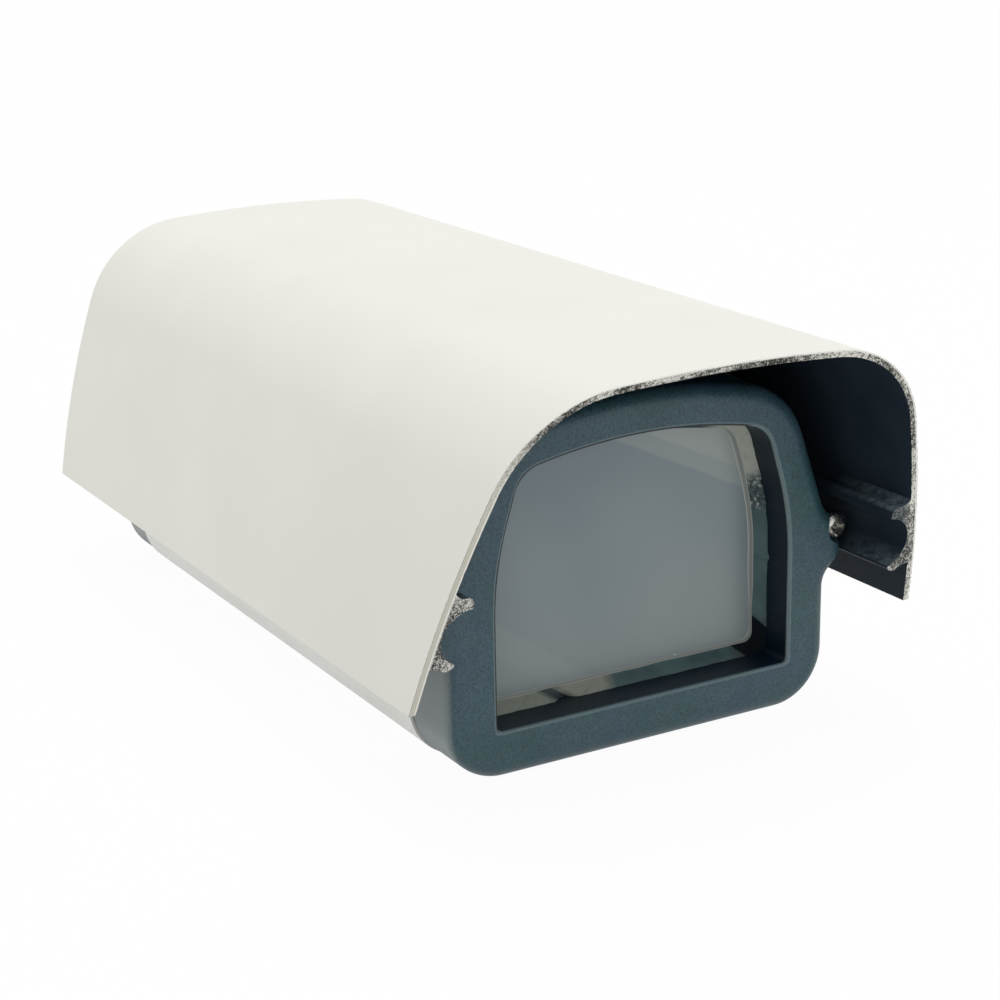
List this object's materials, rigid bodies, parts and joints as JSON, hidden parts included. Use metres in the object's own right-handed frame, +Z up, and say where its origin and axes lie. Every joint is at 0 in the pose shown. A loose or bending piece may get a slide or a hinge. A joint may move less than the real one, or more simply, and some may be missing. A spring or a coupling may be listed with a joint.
{
  "type": "security camera housing",
  "caption": "Small fixed security camera housing: arched sunshield sliding on the rails of a closed tube, framed window in front, cable glands behind, tapped holes below.",
  "frame": {"origin": "mouth of the middle tapped bracket hole, on the flat underside of the tube", "axes": "+Z up; the window faces -Y, the cable glands face +Y; +X is to the right of a viewer facing the window"},
  "size_m": [0.104, 0.1953, 0.075],
  "materials": {
    "shield_paint": "satin off-white powder coat on extruded aluminium, bare at the sawn front rim, near black inside",
    "tube_paint": "satin off-white powder coat on extruded aluminium",
    "slate_paint": "fine-textured slate grey powder coat on an aluminium casting",
    "window_glass": "flat float glass",
    "silicone": "hand-laid grey silicone sealant",
    "gasket_rubber": "black sheet rubber",
    "zinc_steel": "bright zinc-plated steel",
    "bare_aluminium": "mill-finish aluminium",
    "nylon": "moulded grey nylon"
  },
  "bodies": {
    "housing": {"body_tube": "tube_paint", "mount_bar": "bare_aluminium", "bar_screws": "zinc_steel", "front_bezel": "slate_paint", "window_glass": "window_glass", "glass_seal": "silicone", "glass_bond": "silicone", "front_gasket": "gasket_rubber", "front_screws": "zinc_steel", "rear_cap": "slate_paint", "rear_gasket": "gasket_rubber", "rear_screws": "zinc_steel", "gland_body_left": "nylon", "gland_locknut_left": "nylon", "gland_seal_left": "gasket_rubber", "gland_body_right": "nylon", "gland_locknut_right": "nylon", "gland_seal_right": "gasket_rubber"},
    "shield": {"sunshield": "shield_paint", "shield_lock_screws": "zinc_steel"},
    "sled": {"camera_sled": "bare_aluminium", "camera_pad": "gasket_rubber"},
    "washer": {"camera_washer": "nylon"},
    "thumb_screw": {"camera_screw": "zinc_steel"},
    "left_gland_nut": {"gland_nut_left": "nylon"},
    "right_gland_nut": {"gland_nut_right": "nylon"}
  },
  "joints": [
    {"name": "shield_slide", "type": "slide", "parent": "housing", "child": "shield", "axis": [0, -1, 0], "range_m": [-0.015, 0.165]},
    {"name": "sled_slide", "type": "slide", "parent": "housing", "child": "sled", "axis": [0, 1, 0], "range_m": [-0.009, 0.009]},
    {"name": "camera_screw_slide", "type": "slide", "parent": "sled", "child": "washer", "axis": [0, 1, 0], "range_m": [-0.029, 0.037]},
    {"name": "camera_screw_turn", "type": "hinge", "parent": "washer", "child": "thumb_screw", "pos_m": [0, -0.004, 0.011], "axis": [0, 0, 1], "continuous": true},
    {"name": "gland_nut_left_turn", "type": "hinge", "parent": "housing", "child": "left_gland_nut", "pos_m": [-0.017, 0.0871, 0.024], "axis": [0, 1, 0], "continuous": true},
    {"name": "gland_nut_right_turn", "type": "hinge", "parent": "housing", "child": "right_gland_nut", "pos_m": [0.017, 0.0871, 0.024], "axis": [0, 1, 0], "continuous": true}
  ]
}
